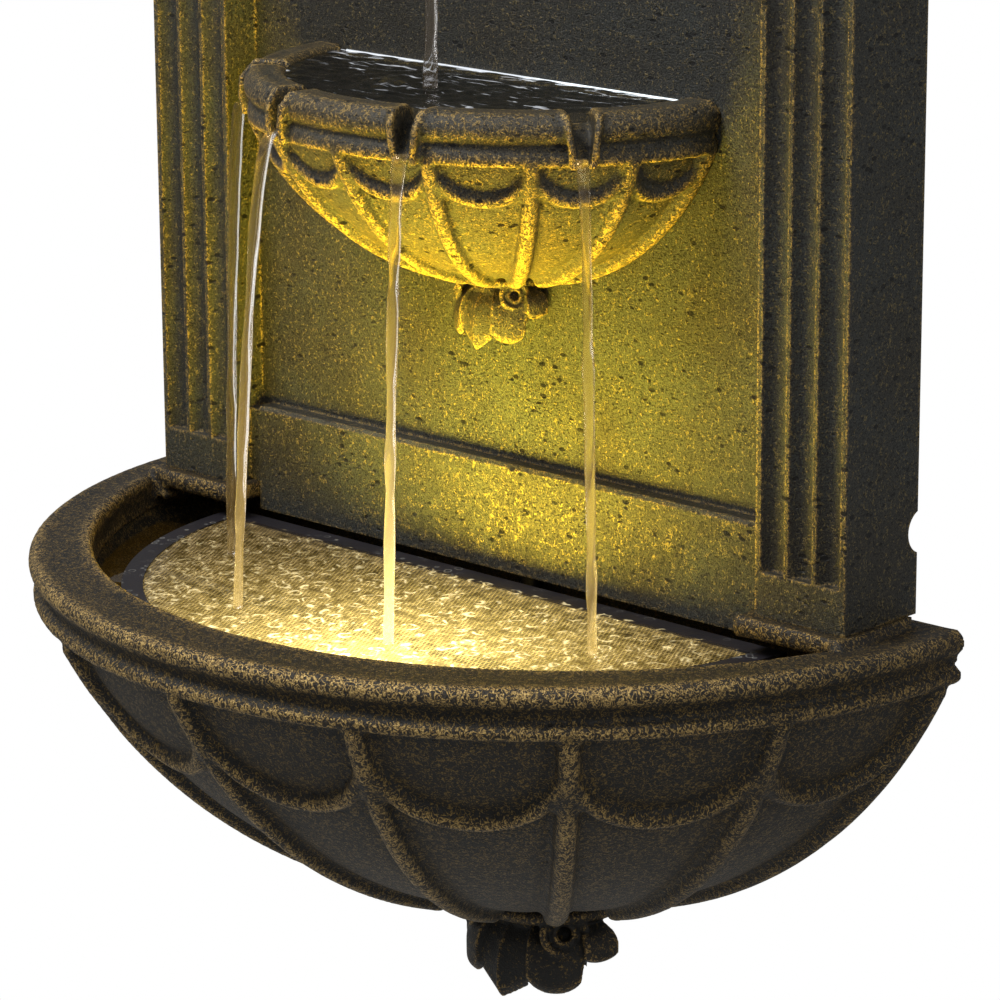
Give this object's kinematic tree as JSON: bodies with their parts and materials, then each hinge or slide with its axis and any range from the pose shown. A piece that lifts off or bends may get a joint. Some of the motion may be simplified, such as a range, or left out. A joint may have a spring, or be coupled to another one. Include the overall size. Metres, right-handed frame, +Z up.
{
  "type": "garden wall fountain",
  "caption": "Two-tier wall fountain in dark cast stone: fluted backboard, half-round upper bowl with chutes over a ribbed basin with a screen, pump, hose and lamp.",
  "frame": {"origin": "on the wall plane, mid-width, at the level of the basin's two ledges that carry the backboard; the point is on the rear face of the basin's back wall", "axes": "+Z up; -Y away from the wall, towards the viewer; +X to the viewer's right when facing the fountain"},
  "size_m": [0.533, 0.2714, 0.843],
  "materials": {
    "cast_stone": "dark bronze-stone casting, sandy and pitted, gold on worn edges",
    "brass": "turned",
    "rubber": "matt",
    "black_plastic": "moulded",
    "grey_plastic": "moulded",
    "white_plastic": "moulded",
    "hose_vinyl": "smooth",
    "steel": "zinc plated",
    "magnet": "sintered",
    "screen_plastic": "moulded",
    "screen_metal": "black coated, perforated",
    "lens": "clear",
    "lamp_led": "board with warm emitters"
  },
  "bodies": {
    "fountain": {"basin": "cast_stone", "upper_bowl": "cast_stone", "backboard": "cast_stone", "cornice": "cast_stone", "basin_leaf": "cast_stone", "bowl_leaf": "cast_stone", "rosette": "cast_stone", "spout_pipe": "brass", "spout_washer": "rubber", "spout_nut": "brass", "spout_elbow": "black_plastic", "hose": "hose_vinyl", "hose_clamps": "steel", "hose_clips": "black_plastic", "pump_body": "black_plastic", "pump_shaft": "steel", "pump_cups": "rubber", "pump_gland": "rubber", "lamp_cup": "rubber", "lamp_bracket": "black_plastic", "hanger_plates": "steel", "hanger_screws": "steel", "bowl_bolts": "steel", "bowl_washers": "steel", "bowl_inserts": "brass"},
    "screen": {"screen_frame": "screen_plastic", "screen_mesh": "screen_metal"},
    "cover": {"pump_cover": "black_plastic"},
    "knob": {"pump_knob": "grey_plastic"},
    "rotor": {"pump_impeller": "white_plastic", "pump_magnet": "magnet"},
    "lamp": {"lamp_head": "black_plastic", "lamp_lens": "lens", "lamp_board": "lamp_led", "lamp_gland": "rubber"}
  },
  "joints": [
    {"name": "screen_lift", "type": "hinge", "parent": "fountain", "child": "screen", "pos_m": [0, -0.046, -0.0205], "axis": [-1, 0, 0], "range_deg": [0, 27]},
    {"name": "cover_pull", "type": "slide", "parent": "fountain", "child": "cover", "axis": [0, -1, 0], "range_m": [0, 0.025]},
    {"name": "flow_knob", "type": "hinge", "parent": "cover", "child": "knob", "pos_m": [0, -0.077, -0.122], "axis": [0, -1, 0], "range_deg": [0, 180]},
    {"name": "rotor_spin", "type": "hinge", "parent": "fountain", "child": "rotor", "pos_m": [0, -0.05, -0.139], "axis": [0, -1, 0], "continuous": true},
    {"name": "lamp_tilt", "type": "hinge", "parent": "fountain", "child": "lamp", "pos_m": [0.02, -0.163, -0.064], "axis": [1, 0, 0], "range_deg": [-30, 30]}
  ]
}
